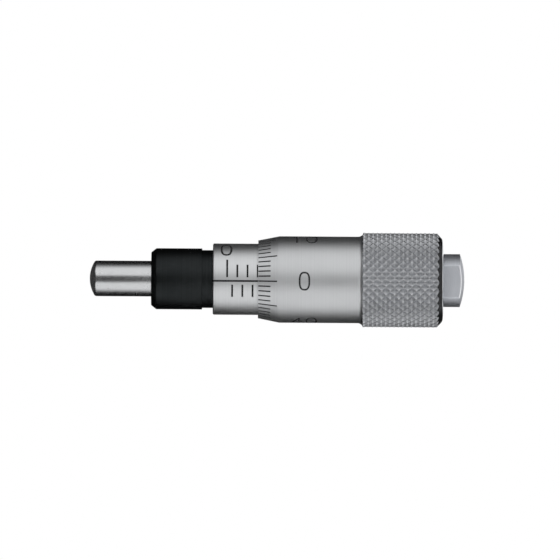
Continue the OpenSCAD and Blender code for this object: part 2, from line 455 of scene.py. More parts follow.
class SurfaceEffects:
    """Shader groups that the finishes share."""

    # Scale of the patches in which turning marks fade, and how finely they and the rest break up
    PATCH_SCALE = 420.0
    PATCH_DETAIL = 2.0
    FINE_DETAIL = 3.0
    # Stretches of the noises' values that run from dark to light
    MARK_STRETCH = (0.25, 0.75)
    MOTTLE_STRETCH = (0.3, 0.7)

    def __init__(self) -> None:
        """Build the groups once."""
        self.place = self.build_place()
        self.marks = self.build_marks()
        self.mottle = self.build_mottle()

    def build_place(self) -> bpy.types.ShaderNodeTree:
        """Build the group that gives a point's place along the axis and its radius, in millimetres."""
        group = new_group("axis_place", {}, ("Along", "Radius"))
        tools = NodeTools(group)
        along, back, up = tools.split_place()
        square = tools.calc("ADD", tools.calc("MULTIPLY", back, back), tools.calc("MULTIPLY", up, up))
        leave = group.nodes["Group Output"]
        tools.join(tools.calc("MULTIPLY", along, 1 / MM), leave.inputs["Along"])
        tools.join(tools.calc("MULTIPLY", tools.calc("SQRT", square), 1 / MM), leave.inputs["Radius"])
        return group

    def build_marks(self) -> bpy.types.ShaderNodeTree:
        """Build the group that draws the fine rings which turning and grinding leave round the axis."""
        group = new_group("turning_marks", {"Lines per mm": 5.0, "Unevenness": 0.5}, ("Tone", "Height"))
        tools = NodeTools(group)
        enter, leave = group.nodes["Group Input"], group.nodes["Group Output"]
        place = tools.add("ShaderNodeGroup", node_tree=self.place)
        run = tools.calc("ADD", place.outputs["Along"], place.outputs["Radius"])
        fine = tools.add("ShaderNodeTexNoise", noise_dimensions="1D")
        fine.inputs["Scale"].default_value = 1.0
        fine.inputs["Detail"].default_value = self.FINE_DETAIL
        tools.join(tools.calc("MULTIPLY", run, enter.outputs["Lines per mm"]), fine.inputs["W"])
        patch = tools.calc("SUBTRACT", tools.noise(self.PATCH_SCALE, self.PATCH_DETAIL), 0.5)
        uneven = tools.calc("MULTIPLY", patch, enter.outputs["Unevenness"])
        level = tools.calc("ADD", fine.outputs["Fac"], uneven)
        tone = tools.span(level, *self.MARK_STRETCH, 0.0, 1.0)
        tools.join(tone, leave.inputs["Tone"])
        tools.join(fine.outputs["Fac"], leave.inputs["Height"])
        return group

    def build_mottle(self) -> bpy.types.ShaderNodeTree:
        """Build the group that gives soft clouds and fine grain, as plating and handling leave them."""
        scales = {"Cloud scale": 180.0, "Grain scale": 9000.0}
        group = new_group("plating_mottle", scales, ("Cloud", "Grain"))
        tools = NodeTools(group)
        enter, leave = group.nodes["Group Input"], group.nodes["Group Output"]
        for scale, label in zip(scales, ("Cloud", "Grain")):
            noise = tools.noise(enter.outputs[scale], self.FINE_DETAIL)
            tools.join(tools.span(noise, *self.MOTTLE_STRETCH, 0.0, 1.0), leave.inputs[label])
        return group


@dataclass(frozen=True)
class TurnedMetal:
    """A metal finish with turning marks, mottle and optional painted shade in a knurl's pits.

    The pit shade radii give the radii at the floor and the top of a knurl's pits, in millimetres. Between
    them the base colour is painted darker towards the pit shade tone, as shade that stands in for the dim
    light deep in the pits.
    """

    name: str
    dark: Tint
    light: Tint
    rough: tuple[float, float]
    lines_per_mm: float
    mark_height: float
    # The next two give painted shade in a knurl's pits: the radii over which the base colour darkens, and the
    # dim tone that it darkens to.
    hollow: tuple[float, float] | None = None
    hollow_tone: Tint = (0.2, 0.2, 0.2)
    mark_share: float = 0.6
    cloud_share: float = 0.6
    grain_height: float = 0.3
    bump_strength: float = 0.5

    def make(self, effects: SurfaceEffects) -> bpy.types.Material:
        """Build the material.

        Args:
            effects: The shared shader groups.

        Returns:
            The material.
        """
        material = bpy.data.materials.new(self.name)
        material.use_nodes = True
        tools = NodeTools(material.node_tree)
        shader = material.node_tree.nodes["Principled BSDF"]
        shader.inputs["Metallic"].default_value = 1.0
        marks = tools.add("ShaderNodeGroup", node_tree=effects.marks)
        marks.inputs["Lines per mm"].default_value = self.lines_per_mm
        mottle = tools.add("ShaderNodeGroup", node_tree=effects.mottle)
        cloud, grain = mottle.outputs["Cloud"], mottle.outputs["Grain"]
        tone = tools.weigh(marks.outputs["Tone"], self.mark_share, cloud)
        colour = tools.blend(tone, self.dark, self.light)
        # Painted shade: below the top of the knurl's pits the base colour is darkened towards a dim tone,
        # standing in for the light that the pits' walls keep out.
        if self.hollow is not None:
            place = tools.add("ShaderNodeGroup", node_tree=effects.place)
            mask = tools.span(place.outputs["Radius"], *self.hollow, 0.0, 1.0)
            colour = tools.blend(mask, self.hollow_tone, colour)
        tools.join(colour, shader.inputs["Base Color"])
        rough = tools.span(tools.weigh(cloud, self.cloud_share, grain), 0.0, 1.0, *self.rough)
        tools.join(rough, shader.inputs["Roughness"])
        bump = tools.add("ShaderNodeBump")
        bump.inputs["Strength"].default_value = self.bump_strength
        bump.inputs["Distance"].default_value = self.mark_height * MM
        height = tools.calc("ADD", marks.outputs["Height"], tools.calc("MULTIPLY", grain, self.grain_height))
        tools.join(height, bump.inputs["Height"])
        tools.join(bump.outputs["Normal"], shader.inputs["Normal"])
        return material


@dataclass(frozen=True)
class ScaleInk:
    """Matt black fill of the engraved lines and numerals."""

    name: str = "scale_ink"
    dark: Tint = (0.013, 0.013, 0.014)
    light: Tint = (0.028, 0.028, 0.03)
    rough: tuple[float, float] = (0.6, 0.8)
    gloss: float = 0.15
    cloud_scale: float = 2500.0

    def make(self, effects: SurfaceEffects) -> bpy.types.Material:
        """Build the material.

        Args:
            effects: The shared shader groups.

        Returns:
            The material.
        """
        material = bpy.data.materials.new(self.name)
        material.use_nodes = True
        tools = NodeTools(material.node_tree)
        shader = material.node_tree.nodes["Principled BSDF"]
        shader.inputs["Specular IOR Level"].default_value = self.gloss
        mottle = tools.add("ShaderNodeGroup", node_tree=effects.mottle)
        mottle.inputs["Cloud scale"].default_value = self.cloud_scale
        colour = tools.blend(mottle.outputs["Cloud"], self.dark, self.light)
        tools.join(colour, shader.inputs["Base Color"])
        rough = tools.span(mottle.outputs["Grain"], 0.0, 1.0, *self.rough)
        tools.join(rough, shader.inputs["Roughness"])
        return material


class Finishes:
    """Every material of the head, made once."""

    SPINDLE = TurnedMetal(
        "lapped_spindle", dark=(0.6, 0.61, 0.62), light=(0.65, 0.66, 0.67), rough=(0.24, 0.3),
        lines_per_mm=9.0, mark_height=0.0003,
    )
    STEM = TurnedMetal(
        "black_oxide", dark=(0.02, 0.0225, 0.0235), light=(0.029, 0.032, 0.033), rough=(0.36, 0.46),
        lines_per_mm=6.0, mark_height=0.002,
    )
    SLEEVE = TurnedMetal(
        "satin_scale_chrome", dark=(0.63, 0.64, 0.65), light=(0.68, 0.69, 0.7), rough=(0.37, 0.44),
        lines_per_mm=7.0, mark_height=0.0006,
    )
    BARREL = TurnedMetal(
        "satin_barrel_chrome", dark=(0.56, 0.57, 0.58), light=(0.61, 0.62, 0.63), rough=(0.37, 0.44),
        lines_per_mm=7.0, mark_height=0.0006,
    )
    # The knurl's base colour is painted darker in its pits, below the ridges, as painted shade.
    KNURL = TurnedMetal(
        "knurled_chrome_painted_pit_shade", dark=(0.55, 0.56, 0.58), light=(0.63, 0.64, 0.66), rough=(0.42, 0.5),
        lines_per_mm=5.0, mark_height=0.001, hollow=(4.5, 4.635), hollow_tone=(0.47, 0.48, 0.5),
    )
    END = TurnedMetal(
        "turned_end", dark=(0.74, 0.75, 0.77), light=(0.8, 0.81, 0.83), rough=(0.14, 0.19),
        lines_per_mm=8.0, mark_height=0.0004,
    )
    CAP = TurnedMetal(
        "cap_chrome", dark=(0.58, 0.6, 0.64), light=(0.64, 0.66, 0.7), rough=(0.46, 0.52),
        lines_per_mm=6.0, mark_height=0.0006,
    )
    NUT = TurnedMetal(
        "turned_nut_steel", dark=(0.4, 0.4, 0.41), light=(0.52, 0.52, 0.53), rough=(0.3, 0.45),
        lines_per_mm=4.0, mark_height=0.003,
    )
    INK = ScaleInk()

    def __init__(self) -> None:
        """Build the shared groups and then each finish."""
        effects = SurfaceEffects()
        self.spindle = self.SPINDLE.make(effects)
        self.stem = self.STEM.make(effects)
        self.sleeve = self.SLEEVE.make(effects)
        self.barrel = self.BARREL.make(effects)
        self.knurl = self.KNURL.make(effects)
        self.end = self.END.make(effects)
        self.cap = self.CAP.make(effects)
        self.nut = self.NUT.make(effects)
        self.ink = self.INK.make(effects)


def settle(
    piece: bpy.types.Object, body: Body, stands_for: str | None = None
) -> None:
    """Tie a finished piece to its body and hide the solid that it stands for.

    Args:
        piece: The finished object.
        body: The body that it moves with.
        stands_for: The solid that it replaces, if any.
    """
    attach(piece, body.value)
    if stands_for is not None:
        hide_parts(stands_for)
    LOG.info("%s: %d faces on %s", piece.name, len(piece.data.polygons), body.value)


@dataclass
class Spindle:
    """Ground rod with a ball end, the screw, the taper and the cap's hole."""

    radius: float = 1.75
    tip: float = -12.1
    ball: float = 3.2
    ball_rings: int = 6
    rim_round: float = 0.15
    rim_steps: int = 5
    screw_radius: float = 2.05
    screw_from: float = 10.35
    screw_to: float = 19.55
    neck_radius: float = 1.95
    taper_from: float = 20.35
    taper_radius: float = 1.75
    rear: float = 22.35
    hole_radius: float = 1.04
    hole_bottom: float = 18.45
    segments: int = 192
    smooth_below: float = 28.0

    def outline(self) -> list[Ring]:
        """Give the outline from the ball's first ring to the bottom of the rear hole."""
        widest = math.asin(self.radius / self.ball)
        ball = []
        for step in range(1, self.ball_rings + 1):
            angle = widest * step / self.ball_rings
            ball.append((self.tip + self.ball * (1 - math.cos(angle)), self.ball * math.sin(angle)))
        rod = [
            (self.screw_from, self.radius),
            (self.screw_from, self.screw_radius),
            (self.screw_to, self.screw_radius),
            (self.screw_to, self.neck_radius),
            (self.taper_from, self.neck_radius),
            (self.rear, self.taper_radius),
            (self.rear, self.hole_radius),
            (self.hole_bottom, self.hole_radius),
            (self.hole_bottom, 0),
        ]
        return ball + rod

    def build(self, finishes: Finishes) -> None:
        """Turn the rod, close the ball at its pole and soften the rim behind the ball."""
        blank = Blank("spindle_rod")
        outline = self.outline()
        blank.turn(outline, self.segments, closed=False)
        first_along = outline[0][0]
        blank.pick_end(first_along)
        bpy.ops.mesh.extrude_region_move(TRANSFORM_OT_translate={"value": (self.tip - first_along, 0, 0)})
        bpy.ops.mesh.merge(type="CENTER")
        blank.seal()
        blank.round_rims([outline[self.ball_rings - 1]], self.rim_round, self.rim_steps)
        blank.wear(finishes.spindle)
        settle(blank.finish(self.smooth_below), Body.SPINDLE, "spindle")


@dataclass
class Stem:
    """Blackened stem with its chamfer, relief groove, sleeve seat and slitted nut end."""

    front: float = -6.06
    radius: float = 3.0
    chamfer: float = 0.5
    chamfer_radius: float = 2.6
    chamfer_round: float = 0.06
    chamfer_steps: int = 3
    bore: float = 1.78
    bore_edge: float = 0.06
    groove_from: float = -1.05
    groove_to: float = 0.15
    groove_radius: float = 2.84
    groove_round: float = 0.05
    groove_steps: int = 2
    seat_radius: float = 3.2
    seat_to: float = 9.2
    collar_radius: float = 3.38
    collar_to: float = 9.6
    nut_radius: float = 2.8
    rear: float = 16.95
    nut_bore: float = 2.1
    nut_bore_from: float = 6.95
    slits: int = 3
    slit_width: float = 0.35
    slit_length: float = 5.5
    saw_over: float = 0.4
    segments: int = 192
    smooth_below: float = 30.0

    def build(self, finishes: Finishes) -> None:
        """Turn the stem, round its edges and saw the slits."""
        blank = Blank("clamping_stem")
        chamfer_front = (self.front, self.chamfer_radius)
        chamfer_rear = (self.front + self.chamfer, self.radius)
        groove_edge = (self.groove_from, self.radius)
        outline = [
            (self.front, self.bore + self.bore_edge),
            chamfer_front,
            chamfer_rear,
            groove_edge,
            (self.groove_from, self.groove_radius),
            (self.groove_to, self.groove_radius),
            (self.groove_to, self.seat_radius),
            (self.seat_to, self.seat_radius),
            (self.seat_to, self.collar_radius),
            (self.collar_to, self.collar_radius),
            (self.collar_to, self.nut_radius),
            (self.rear, self.nut_radius),
            (self.rear, self.nut_bore),
            (self.nut_bore_from, self.nut_bore),
            (self.nut_bore_from, self.bore),
            (self.front + self.bore_edge, self.bore),
        ]
        blank.turn(outline, self.segments, closed=True)
        blank.round_rims([chamfer_front, chamfer_rear], self.chamfer_round, self.chamfer_steps)
        blank.round_rims([groove_edge], self.groove_round, self.groove_steps)
        blank.wear(finishes.stem)
        for turn in range(self.slits):
            blank.cut(self.saw(turn, finishes))
        settle(blank.finish(self.smooth_below), Body.STEM, "stem")

    def saw(self, turn: int, finishes: Finishes) -> Blank:
        """Make the blade-shaped cutter of one slit.

        Args:
            turn: Number of the slit.
            finishes: The head's materials.

        Returns:
            The cutter.
        """
        clear_bench()
        cutter = Blank("slit_saw")
        bpy.ops.mesh.primitive_cube_add(size=1, location=(0, 0, 0))
        cutter.take()
        bpy.ops.object.mode_set(mode="EDIT")
        bpy.ops.mesh.select_all(action="SELECT")
        bpy.ops.transform.resize(value=(self.slit_length + self.saw_over, self.radius, self.slit_width))
        middle = self.rear + (self.saw_over - self.slit_length) / 2
        bpy.ops.transform.translate(value=(middle, -self.radius / 2, 0))
        angle = math.radians(90 + 360 * turn / self.slits)
        bpy.ops.transform.rotate(value=angle, orient_axis="X", center_override=(0, 0, 0))
        cutter.wear(finishes.stem)
        return cutter


@dataclass
class GraduatedSleeve:
    """Satin sleeve with the index line, the cross lines and its numerals.

    Cross lines are half a millimetre apart. The angles of their ends are in degrees from the index line.
    """

    radius: float = 3.5
    bore: float = 3.22
    length: float = 9.2
    rim_round: float = 0.15
    rim_steps: int = 5
    outside_depth: float = 0.135
    zero: float = 1.41
    lines_per_mm: int = 2
    last_line: int = 13
    long_every: int = 10
    line_width: float = 0.18
    line_depth: float = 0.04
    line_from: float = 6.0
    line_to: float = 27.0
    long_to: float = 36.0
    index_half: float = 1.5
    index_to: float = 8.9
    segments: int = 240
    smooth_below: float = 30.0
    numerals: tuple[int, ...] = (0, 5)
    numeral_at: float = 59.5
    numeral_shift: float = -0.08
    numeral_stroke: float = 0.21

    def build(self, finishes: Finishes) -> None:
        """Turn the sleeve with a ring at each side of each line, then sink the lines."""
        blank = Blank("graduated_sleeve_scale")
        half = self.line_width / 2
        places = [self.zero + step / self.lines_per_mm for step in range(self.last_line + 1)]
        outline = [(0.0, self.bore), (0.0, self.radius)]
        for place in places:
            outline += [(place - half, self.radius), (place + half, self.radius)]
        outline += [(self.index_to, self.radius), (self.length, self.radius), (self.length, self.bore)]
        blank.turn(outline, self.segments, closed=True)
        blank.round_rims([(0.0, self.radius)], self.rim_round, self.rim_steps)
        blank.wear(finishes.sleeve, finishes.ink)
        shrink = (self.radius - self.line_depth) / self.radius

        def is_line(face: bmesh.types.BMFace) -> bool:
            """Say whether a face belongs to the index line or a cross line."""
            middle = face.calc_center_median()
            if axis_radius(middle) < self.radius - self.outside_depth:
                return False
            lift = lift_angle(middle)
            if abs(lift) < self.index_half and middle.x < self.index_to:
                return True
            step = round((middle.x - self.zero) * self.lines_per_mm)
            if not 0 <= step <= self.last_line or abs(middle.x - places[step]) > half:
                return False
            if step % self.lines_per_mm:
                return -self.line_to < lift < -self.line_from
            return self.line_from < lift < (self.long_to if step % self.long_every == 0 else self.line_to)

        count = blank.engrave(is_line, shrink, finishes.ink)
        LOG.info("sleeve lines: %d faces sunk", count)
        settle(blank.finish(self.smooth_below), Body.STEM, "graduated_sleeve")
        for number in self.numerals:
            along = self.zero + number + self.numeral_shift
            numeral = Numeral(str(number), along, self.numeral_at, self.radius, stroke=self.numeral_stroke)
            numeral.build(finishes, Body.STEM, f"sleeve_numeral_{number}")


@dataclass
class Thimble:
    """Thimble with the graduated bevel, the smooth barrel and the diamond knurl.

    The bevel's lines start and stop at distances from the front edge. Their lift and half width, and the
    numerals' lift, are in degrees.
    """

    front: float = 4.45
    bore: float = 3.55
    edge: float = 3.83
    bevel: float = 2.1
    barrel: float = 4.25
    fillet_from: float = 14.26
    fillet: float = 0.52
    fillet_steps: int = 10
    ridge: float = 4.65
    chamfer_from: float = 22.0
    rear: float = 22.6
    rim: float = 4.0
    rim_round: float = 0.2
    rim_steps: int = 4
    seat: float = 22.72
    cap_radius: float = 2.6
    hole_rear: float = 1.753
    hole_front: float = 1.99
    wall_from: float = 20.35
    lines: int = 50
    long_every: int = 5
    line_from: float = 0.03
    short_line: float = 1.22
    long_line: float = 1.86
    line_shrink: float = 0.99
    line_lift: float = 0.327
    line_half: float = 0.98
    segments: int = 550
    smooth_below: float = 12.0
    rear_facing: float = 0.5
    front_facing: float = 0.75
    numerals: int = 5
    numeral_step: int = 10
    numeral_at: float = 4.55
    numeral_lift: float = 0.8
    pit_count: int = 34
    pit_pitch: float = 0.85
    pit_from: float = 15.3
    pit_depth: float = 0.28
    pit_top: float = 1.2
    pit_floor: float = 0.12
    pit_over: float = 0.006
    pit_corner: float = 0.16

    def on_bevel(self, run: float) -> Ring:
        """Give the ring on the bevel at a distance from the front edge."""
        slope = (self.barrel - self.edge) / self.bevel
        return (self.front + run, self.edge + slope * run)

    def flare(self) -> list[Ring]:
        """Give the rings of the concave fillet from the barrel up to the knurl."""
        widest = math.acos(1 - (self.ridge - self.barrel) / self.fillet)
        rings = []
        for step in range(self.fillet_steps + 1):
            swing = widest * step / self.fillet_steps
            rise = self.fillet * (1 - math.cos(swing))
            rings.append((self.fillet_from + self.fillet * math.sin(swing), self.barrel + rise))
        return rings

    def outline(self) -> list[Ring]:
        """Give the outline from the front edge over the knurl and back through the bore."""
        return [
            (self.front, self.bore),
            (self.front, self.edge),
            self.on_bevel(self.line_from),
            self.on_bevel(self.short_line),
            self.on_bevel(self.long_line),
            (self.front + self.bevel, self.barrel),
            *self.flare(),
            (self.chamfer_from, self.ridge),
            (self.rear, self.rim),
            (self.seat, self.cap_radius),
            (self.seat, self.hole_rear),
            (self.wall_from, self.hole_front),
            (self.wall_from, self.bore),
        ]

    def build(self, finishes: Finishes) -> None:
        """Turn the thimble, sink its lines, cut its knurl and add its numerals."""
        blank = Blank("thimble_turned")
        blank.turn(self.outline(), self.segments, closed=True)
        blank.round_rims([(self.rear, self.rim)], self.rim_round, self.rim_steps)
        blank.wear(finishes.barrel, finishes.ink, finishes.knurl, finishes.end)
        self.sink_lines(blank, finishes)
        self.coat_knurl(blank, finishes)
        for row_set in range(2):
            plugs = self.diamond_plugs(row_set)
            plugs.wear(finishes.knurl)
            blank.cut(plugs)
        blank.clear_slivers()
        settle(blank.finish(self.smooth_below), Body.THIMBLE, "thimble")
        for turn in range(self.numerals):
            number = turn * self.numeral_step
            lift = 360 / self.numerals * turn + self.numeral_lift
            numeral = Numeral(str(number), self.front + self.numeral_at, lift, self.barrel)
            numeral.build(finishes, Body.THIMBLE, f"thimble_numeral_{number}")

    def sink_lines(self, blank: Blank, finishes: Finishes) -> None:
        """Sink the bevel's lines and ink them.

        Args:
            blank: The turned thimble.
            finishes: The head's materials.
        """
        step = 360 / self.lines

        def is_line(face: bmesh.types.BMFace) -> bool:
            """Say whether a face belongs to one of the bevel's lines."""
            middle = face.calc_center_median()
            run = middle.x - self.front
            if axis_radius(middle) < self.edge or not self.line_from < run < self.long_line:
                return False
            lift = (lift_angle(middle) - self.line_lift) % 360
            number = round(lift / step)
            if abs(lift - number * step) > self.line_half:
                return False
            return number % self.long_every == 0 or run < self.short_line

        count = blank.engrave(is_line, self.line_shrink, finishes.ink)
        LOG.info("thimble lines: %d faces sunk", count)

    def coat_knurl(self, blank: Blank, finishes: Finishes) -> None:
        """Give the knurl's ridges, the steep end of the flare and the end face their finishes.

        Args:
            blank: The turned thimble.
            finishes: The head's materials.
        """
        knurl_from = self.flare()[-1][0]

        def on_ridge(face: bmesh.types.BMFace) -> bool:
            """Say whether a face lies on the cylinder that the knurl is cut in."""
            middle = face.calc_center_median()
            return middle.x > knurl_from and axis_radius(middle) > self.ridge - NEAR

        def on_end(face: bmesh.types.BMFace) -> bool:
            """Say whether a face looks to the rear, or to the front from the flare."""
            middle = face.calc_center_median()
            if axis_radius(middle) <= self.cap_radius:
                return False
            on_flare = face.normal.x < -self.front_facing and middle.x > self.fillet_from
            return face.normal.x > self.rear_facing or on_flare

        blank.pick(Element.FACE, on_ridge)
        blank.coat(finishes.knurl)
        blank.pick(Element.FACE, on_end)
        blank.coat(finishes.end)

    def diamond_plugs(self, row_set: int) -> Blank:
        """Model one diamond plug, copy it round a ring and copy the ring along the knurl.

        Args:
            row_set: 0 for the first set of rows, 1 for the set between them.

        Returns:
            The plugs of every second row as one cutter.
        """
        clear_bench()
        cutter = Blank("knurl_plugs")
        outer = self.pit_top + (self.pit_top - self.pit_floor) / self.pit_depth * self.pit_over
        bpy.ops.mesh.primitive_circle_add(
            vertices=4,
            radius=outer,
            fill_type="NGON",
            location=(self.pit_from, -self.ridge - self.pit_over, 0),
            rotation=(math.pi / 2, 0, 0),
        )
        cutter.take()
        bpy.ops.object.mode_set(mode="EDIT")
        bpy.ops.mesh.select_all(action="SELECT")
        middle = (self.pit_from, 0, 0)
        across = math.pi * self.ridge / self.pit_count
        bpy.ops.transform.resize(value=(self.pit_pitch / 2, 1, across), center_override=middle)
        bpy.ops.mesh.bevel(offset=self.pit_corner, segments=1, affect="VERTICES")
        bpy.ops.mesh.select_all(action="SELECT")
        sink = self.pit_depth + self.pit_over
        bpy.ops.mesh.extrude_region_move(TRANSFORM_OT_translate={"value": (0, sink, 0)})
        share = self.pit_floor / outer
        bpy.ops.transform.resize(value=(share, 1, share), center_override=middle)
        cutter.seal()
        step = 2 * math.pi / self.pit_count
        for _ in range(self.pit_count - 1):
            bpy.ops.mesh.duplicate()
            bpy.ops.transform.rotate(value=step, orient_axis="X", center_override=(0, 0, 0))
        bpy.ops.mesh.select_all(action="SELECT")
        if row_set:
            bpy.ops.transform.translate(value=(-self.pit_pitch / 2, 0, 0))
            bpy.ops.transform.rotate(value=step / 2, orient_axis="X", center_override=(0, 0, 0))
        for _ in range(math.ceil((self.rear - self.pit_from) / self.pit_pitch)):
            bpy.ops.mesh.duplicate()
            bpy.ops.transform.translate(value=(self.pit_pitch, 0, 0))
        return cutter


@dataclass
class CapScrew:
    """Domed cap with two spanner flats and its shank."""

    radius: float = 2.6
    flats: float = 4.1
    seat: float = 22.72
    length: float = 1.55
    dome: float = 0.45
    dome_rings: int = 10
    edge_run: float = 0.1
    edge_rise: float = 0.03
    seat_band: float = 0.15
    shank_radius: float = 1.0
    shank_end: float = 18.85
    segments: int = 192
    smooth_below: float = 12.0
    side_facing: float = 0.99
    rear_facing: float = 0.25

    def outline(self) -> list[Ring]:
        """Give the outline from the shank's end to the crown of the dome."""
        sphere = (self.radius**2 + self.dome**2) / (2 * self.dome)
        crown = self.seat + self.length + self.dome
        widest = math.asin(self.radius / sphere)
        outline = [
            (self.shank_end, self.shank_radius),
            (self.seat, self.shank_radius),
            (self.seat, self.radius),
            (self.seat + self.length, self.radius),
        ]
        for ring in range(self.dome_rings - 1, 0, -1):
            angle = widest * ring / self.dome_rings
            outline.append((crown - sphere * (1 - math.cos(angle)), sphere * math.sin(angle)))
        return [*outline, (crown, 0)]

    def build(self, finishes: Finishes) -> None:
        """Turn the cap, saw off its sides and break the edges of the flats."""
        blank = Blank("cap_screw_domed")
        blank.turn(self.outline(), self.segments, closed=False)
        blank.pick_end(self.shank_end)
        bpy.ops.mesh.edge_face_add()
        half = self.flats / 2
        sawn = half - self.edge_rise
        for side in (-1, 1):
            bpy.ops.mesh.select_all(action="SELECT")
            bpy.ops.mesh.bisect(
                plane_co=(0, side * sawn, 0), plane_no=(0, side, 0), use_fill=True, clear_outer=True
            )
        blank.seal()
        blank.wear(finishes.cap, finishes.end)
        self.break_edges(blank, sawn, half)
        blank.coat(finishes.end)
        settle(blank.finish(self.smooth_below), Body.THIMBLE, "cap_screw")

    def break_edges(self, blank: Blank, sawn: float, half: float) -> None:
        """Raise each flat inside a narrow edge, and leave the rear edges picked.

        Args:
            blank: The sawn cap.
            sawn: Distance of the sawn faces from the axis.
            half: Distance of the raised flats from the axis.
        """

        def is_flat(face: bmesh.types.BMFace) -> bool:
            """Say whether a face was left by the saw."""
            away = abs(face.calc_center_median().y)
            return abs(away - sawn) < TOUCH and abs(face.normal.y) > self.side_facing

        def at_seat(vert: bmesh.types.BMVert) -> bool:
            """Say whether a point lies on the front side of a raised flat."""
            return abs(abs(vert.co.y) - half) < TOUCH and vert.co.x < self.seat + self.seat_band

        def is_rear_edge(face: bmesh.types.BMFace) -> bool:
            """Say whether a face is a broken edge that looks to the rear."""
            return sawn < abs(face.calc_center_median().y) < half and face.normal.x > self.rear_facing

        count = blank.pick(Element.FACE, is_flat)
        LOG.info("cap flats: %d", count)
        bpy.ops.mesh.inset(thickness=self.edge_run, depth=self.edge_rise)
        blank.pick(Element.POINT, at_seat)
        bpy.ops.transform.translate(value=(-self.edge_run, 0, 0))
        blank.pick(Element.FACE, is_rear_edge)


@dataclass
class Numeral:
    """A dial number in ink, rolled on a cylinder."""

    text: str
    along: float
    lift: float
    radius: float
    width: float = 0.95
    height: float = 1.69
    stroke: float = 0.17
    reach: float = 0.12
    proud: float = 0.012
    spacing: float = 1.42
    squareness: float = 0.74
    bead_resolution: int = 2
    smooth_below: float = 60.0

    @staticmethod
    def arc(
        middle: Dot, across: float, tall: float, start: float, stop: float, steps: int = 14
    ) -> list[Dot]:
        """Give points on an arc.

        Args:
            middle: Centre of the arc.
            across: Half its width.
            tall: Half its height.
            start: First angle in degrees.
            stop: Last angle in degrees.
            steps: Pieces of the arc.

        Returns:
            The points in order.
        """
        turns = [math.radians(start + (stop - start) * k / steps) for k in range(steps + 1)]
        return [(middle[0] + across * math.cos(t), middle[1] + tall * math.sin(t)) for t in turns]

    def squared(self, value: float) -> float:
        """Push a share of a circle's radius outwards, towards a square."""
        return math.copysign(abs(value) ** self.squareness, value)

    def strokes(self, digit: str) -> list[list[Dot]]:
        """Give the strokes of one digit, from 0 to 5, in millimetres from its middle.

        Args:
            digit: The digit.

        Returns:
            Each stroke's points in order.
        """
        w, h = self.width / 2, self.height / 2
        if digit == "0":
            circle = self.arc((0, 0), 1, 1, 0, 360, steps=40)
            return [[(w * self.squared(x), h * self.squared(y)) for x, y in circle]]
        if digit == "1":
            return [[(-0.34, h - 0.28), (-0.08, h)], [(-0.05, h), (-0.05, -h)]]
        if digit == "2":
            bow = self.arc((0, h - w), w, w, 165, -35)
            return [[*bow, (-w, -h)], [(-w, -h), (w, -h)]]
        if digit == "3":
            upper = self.arc((0, h / 2), w * 0.9, h / 2, 150, -90)
            lower = self.arc((0, -h / 2), w, h / 2, 90, -150)
            return [upper, lower]
        if digit == "4":
            return [[(0.2, h), (-w, -0.3 * h), (w, -0.3 * h)], [(0.2, h), (0.2, -h)]]
        bow = self.arc((0, w - h + 0.08), w, w + 0.08, 130, -150)
        return [[(w * 0.9, h), (-w * 0.8, h)], [(-w * 0.8, h), (-w * 0.9, 0.1), *bow[1:]]]

    def draw(self, points: Sequence[Dot], shift: float) -> bpy.types.Object:
        """Draw one stroke as a round bead.

        Args:
            points: The stroke's points.
            shift: Place of the digit along the axis.

        Returns:
            The bead's mesh object, along X and Y, in millimetres.
        """
        clear_bench()
        bpy.ops.mesh.primitive_plane_add(size=self.stroke)
        bead = bpy.context.object
        bpy.ops.object.mode_set(mode="EDIT")
        bpy.ops.mesh.select_mode(type="VERT")
        bpy.ops.mesh.select_all(action="SELECT")
        bpy.ops.mesh.merge(type="CENTER")
        bpy.ops.transform.translate(value=(points[0][0] + shift, points[0][1], 0))
        for (ax, ay), (bx, by) in zip(points, points[1:]):
            steps = max(1, math.ceil(math.hypot(bx - ax, by - ay) / self.reach))
            move = ((bx - ax) / steps, (by - ay) / steps, 0)
            for _ in range(steps):
                bpy.ops.mesh.extrude_region_move(TRANSFORM_OT_translate={"value": move})
        bpy.ops.mesh.select_all(action="SELECT")
        bpy.ops.mesh.remove_doubles(threshold=TOUCH)
        bpy.ops.object.mode_set(mode="OBJECT")
        bpy.ops.object.convert(target="CURVE")
        bead.data.bevel_depth = self.stroke / 2
        bead.data.bevel_resolution = self.bead_resolution
        bead.data.use_fill_caps = True
        bpy.ops.object.convert(target="MESH")
        return bpy.context.object

    def build(self, finishes: Finishes, body: Body, name: str) -> None:
        """Draw every digit, join the strokes, and flatten and roll them on the cylinder.

        Args:
            finishes: The head's materials.
            body: The body that carries the number.
            name: Name of the piece.
        """
        beads = []
        for place, digit in enumerate(self.text):
            shift = (place - (len(self.text) - 1) / 2) * self.spacing
            beads += [self.draw(points, shift) for points in self.strokes(digit)]
        clear_bench()
        for bead in beads:
            bead.select_set(True)
        bpy.context.view_layer.objects.active = beads[0]
        if len(beads) > 1:
            bpy.ops.object.join()
        blank = Blank(name)
        blank.piece = bpy.context.object
        blank.piece.name = name
        blank.piece.data.name = name
        flat = self.proud / (self.stroke / 2)
        for vertex in blank.piece.data.vertices:
            u, v, n = vertex.co
            angle = math.radians(self.lift) + v / self.radius
            radius = self.radius + n * flat
            vertex.co = (self.along + u, -radius * math.cos(angle), radius * math.sin(angle))
        bpy.ops.object.mode_set(mode="EDIT")
        blank.seal()
        blank.piece.data.materials.clear()
        blank.wear(finishes.ink)
        settle(blank.finish(self.smooth_below), body)


